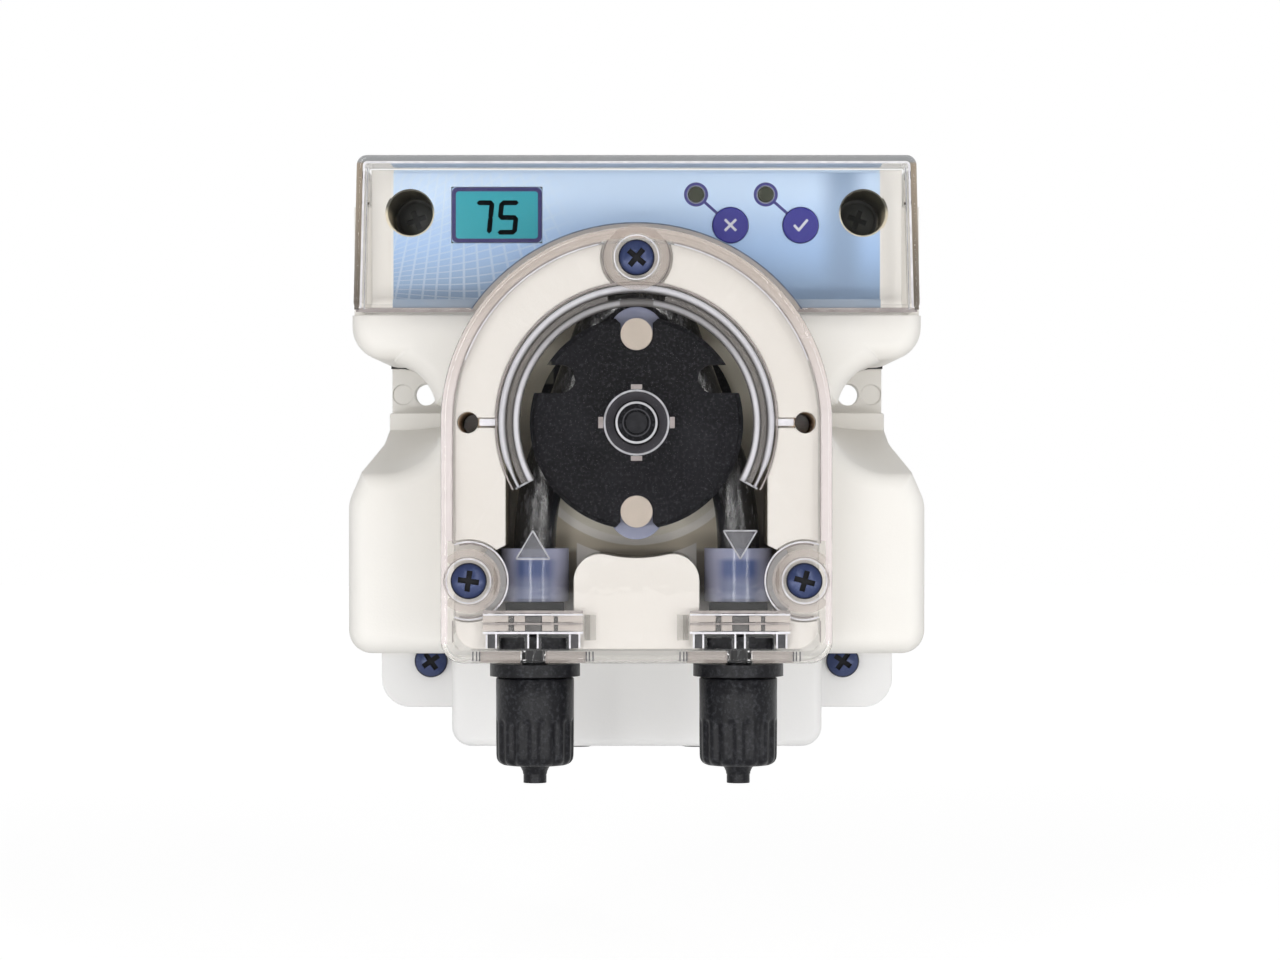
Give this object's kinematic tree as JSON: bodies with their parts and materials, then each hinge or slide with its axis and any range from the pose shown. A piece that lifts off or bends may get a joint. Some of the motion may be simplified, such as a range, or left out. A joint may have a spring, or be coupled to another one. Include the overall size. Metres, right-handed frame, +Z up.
{
  "type": "peristaltic dosing pump",
  "caption": "Wall-mounted peristaltic dosing pump with a clear two-roller pump head, hose connectors below and a control panel under a hinged clear lid.",
  "frame": {"origin": "on the wall face of the back housing, in line with the pump rotor", "axes": "+X to the right seen from the front, +Y into the wall, +Z up"},
  "size_m": [0.1124, 0.09, 0.1205],
  "materials": {
    "ivory_plastic": "fine textured ivory ABS",
    "clear_plastic": "clear polycarbonate",
    "seal_rubber": "black EPDM rubber",
    "blued_steel": "blue-black passivated screw",
    "steel": "plain steel",
    "label_film": "pale blue printed film",
    "lcd": "backlit liquid crystal display",
    "led_lens": "unlit diode lens",
    "key_plastic": "deep blue keycap",
    "board": "green solder mask on glass-fibre board",
    "component_plastic": "black moulded component",
    "tube_rubber": "black elastomer pump tube",
    "sleeve_plastic": "blue-grey translucent polypropylene",
    "black_plastic": "black glass-filled plastic",
    "pin_plastic": "beige acetal",
    "gear_plastic": "natural acetal",
    "brass": "sintered bronze and brass"
  },
  "bodies": {
    "root": {"rear_housing": "ivory_plastic", "housing_gasket": "seal_rubber", "front_housing": "ivory_plastic", "case_screws": "blued_steel", "foot_screws": "blued_steel", "cable_grommets": "seal_rubber", "control_label": "label_film", "lcd_display": "lcd", "status_leds": "led_lens", "key_switches": "component_plastic", "control_board": "board", "board_screws": "steel", "pump_head_body": "ivory_plastic", "head_cover": "clear_plastic", "head_screws": "blued_steel", "pump_tube": "tube_rubber", "suction_sleeve": "sleeve_plastic", "discharge_sleeve": "sleeve_plastic", "suction_connector": "black_plastic", "discharge_connector": "black_plastic", "shaft_seal": "seal_rubber", "idler_pins": "steel", "gear_plate_front": "steel", "gear_plate_back": "steel", "gear_pillars": "steel", "output_bushes": "brass", "gearbox_screws": "steel", "motor_can": "steel", "motor_end_cap": "component_plastic", "motor_magnets": "steel", "motor_screws": "steel", "power_board": "board", "power_board_screws": "steel", "transformer": "component_plastic", "capacitor": "component_plastic", "terminal_block": "component_plastic"},
    "lid": {"panel_lid": "clear_plastic"},
    "esc_button": {"esc_key": "key_plastic"},
    "ok_button": {"ok_key": "key_plastic"},
    "rotor": {"rotor_body": "black_plastic", "rotor_plate": "black_plastic", "roller_pins": "pin_plastic", "drive_shaft": "steel", "output_gear": "gear_plastic"},
    "upper_roller": {"roller_upper": "sleeve_plastic"},
    "lower_roller": {"roller_lower": "sleeve_plastic"},
    "idler_b": {"idler_gear_b": "gear_plastic"},
    "idler_a": {"idler_gear_a": "gear_plastic"},
    "motor_rotor": {"motor_armature": "steel", "motor_shaft": "steel", "motor_pinion": "brass"},
    "suction_clamp": {"suction_ring": "black_plastic"},
    "suction_nut_body": {"suction_nut": "black_plastic"},
    "discharge_clamp": {"discharge_ring": "black_plastic"},
    "discharge_nut_body": {"discharge_nut": "black_plastic"}
  },
  "joints": [
    {"name": "lid_hinge", "type": "hinge", "parent": "root", "child": "lid", "pos_m": [0, -0.0445, 0.0464], "axis": [-1, 0, 0], "range_deg": [0, 90]},
    {"name": "esc_press", "type": "slide", "parent": "root", "child": "esc_button", "axis": [0, 1, 0], "range_m": [0, 0.0005], "stiffness_N_per_m": 400},
    {"name": "ok_press", "type": "slide", "parent": "root", "child": "ok_button", "axis": [0, 1, 0], "range_m": [0, 0.0005], "stiffness_N_per_m": 400},
    {"name": "rotor_turn", "type": "hinge", "parent": "root", "child": "rotor", "pos_m": [0, 0, 0], "axis": [0, -1, 0], "continuous": true, "deforming": ["pump_tube"]},
    {"name": "upper_roller_turn", "type": "hinge", "parent": "rotor", "child": "upper_roller", "pos_m": [0, 0, 0.0167], "axis": [0, -1, 0], "continuous": true},
    {"name": "lower_roller_turn", "type": "hinge", "parent": "rotor", "child": "lower_roller", "pos_m": [0, 0, -0.0167], "axis": [0, -1, 0], "continuous": true},
    {"name": "idler_b_turn", "type": "hinge", "parent": "root", "child": "idler_b", "pos_m": [-0.0162, 0, -0.0193], "axis": [0, -1, 0], "continuous": true},
    {"name": "idler_a_turn", "type": "hinge", "parent": "root", "child": "idler_a", "pos_m": [0.00598, 0, -0.02242], "axis": [0, -1, 0], "continuous": true},
    {"name": "motor_turn", "type": "hinge", "parent": "root", "child": "motor_rotor", "pos_m": [0.02817, 0, -0.0193], "axis": [0, -1, 0], "continuous": true},
    {"name": "suction_ring_slide", "type": "slide", "parent": "root", "child": "suction_clamp", "axis": [0, 0, -1], "range_m": [0, 0.0045]},
    {"name": "suction_nut_turn", "type": "hinge", "parent": "suction_clamp", "child": "suction_nut_body", "pos_m": [-0.0194, -0.075, -0.058], "axis": [0, 0, -1], "range_deg": [0, 1080]},
    {"name": "discharge_ring_slide", "type": "slide", "parent": "root", "child": "discharge_clamp", "axis": [0, 0, -1], "range_m": [0, 0.0045]},
    {"name": "discharge_nut_turn", "type": "hinge", "parent": "discharge_clamp", "child": "discharge_nut_body", "pos_m": [0.0194, -0.075, -0.058], "axis": [0, 0, -1], "range_deg": [0, 1080]}
  ],
  "couplings": [
    {"joint": "upper_roller_turn", "follows": "rotor_turn", "ratio": -4.1509},
    {"joint": "lower_roller_turn", "follows": "rotor_turn", "ratio": -4.1509},
    {"joint": "idler_b_turn", "follows": "rotor_turn", "ratio": -3.5},
    {"joint": "idler_a_turn", "follows": "rotor_turn", "ratio": 10.5},
    {"joint": "motor_turn", "follows": "rotor_turn", "ratio": -31.5},
    {"joint": "suction_ring_slide", "follows": "suction_nut_turn", "m_per_rad": 0.00023873},
    {"joint": "discharge_ring_slide", "follows": "discharge_nut_turn", "m_per_rad": 0.00023873}
  ]
}
